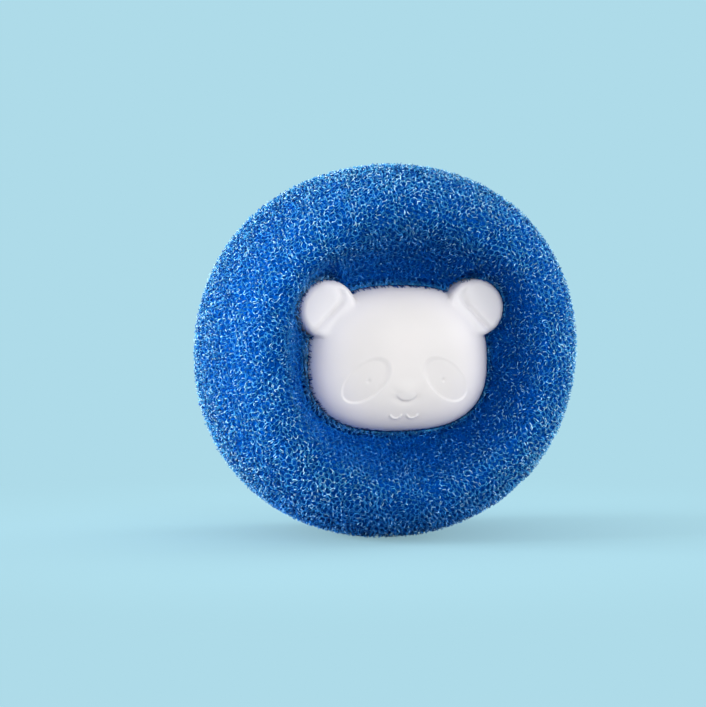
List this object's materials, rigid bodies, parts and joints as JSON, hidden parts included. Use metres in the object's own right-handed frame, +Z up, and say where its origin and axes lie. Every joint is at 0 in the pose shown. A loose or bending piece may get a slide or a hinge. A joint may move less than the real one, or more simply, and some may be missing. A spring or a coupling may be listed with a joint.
{
  "type": "pet hair laundry ball",
  "caption": "Squashed ball of open-cell foam for the washing machine, pinched at its middle between white bear-head caps that a pin joins through the foam.",
  "frame": {"origin": "on the ground under the middle of the ball, at the centre of the flat that it rests on", "axes": "+Z up, -Y the way the front bear head faces, +X to the right as seen from the front; the ball's pinched axis lies along Y"},
  "size_m": [0.06, 0.038, 0.0585],
  "materials": {
    "blue_open_cell_foam": "matt open-cell polyurethane foam, cells under 1 mm",
    "white_polypropylene": "smooth white moulding with a soft gloss",
    "natural_polypropylene": "undyed moulding, hidden inside"
  },
  "bodies": {
    "core": {"foam_ring": "blue_open_cell_foam", "joining_pin": "natural_polypropylene"},
    "front": {"front_cap": "white_polypropylene"},
    "rear": {"rear_cap": "white_polypropylene"}
  },
  "joints": [
    {"name": "front_pull", "type": "slide", "parent": "core", "child": "front", "axis": [0, -1, 0], "range_m": [0, 0.009]},
    {"name": "rear_pull", "type": "slide", "parent": "core", "child": "rear", "axis": [0, 1, 0], "range_m": [0, 0.009]}
  ]
}
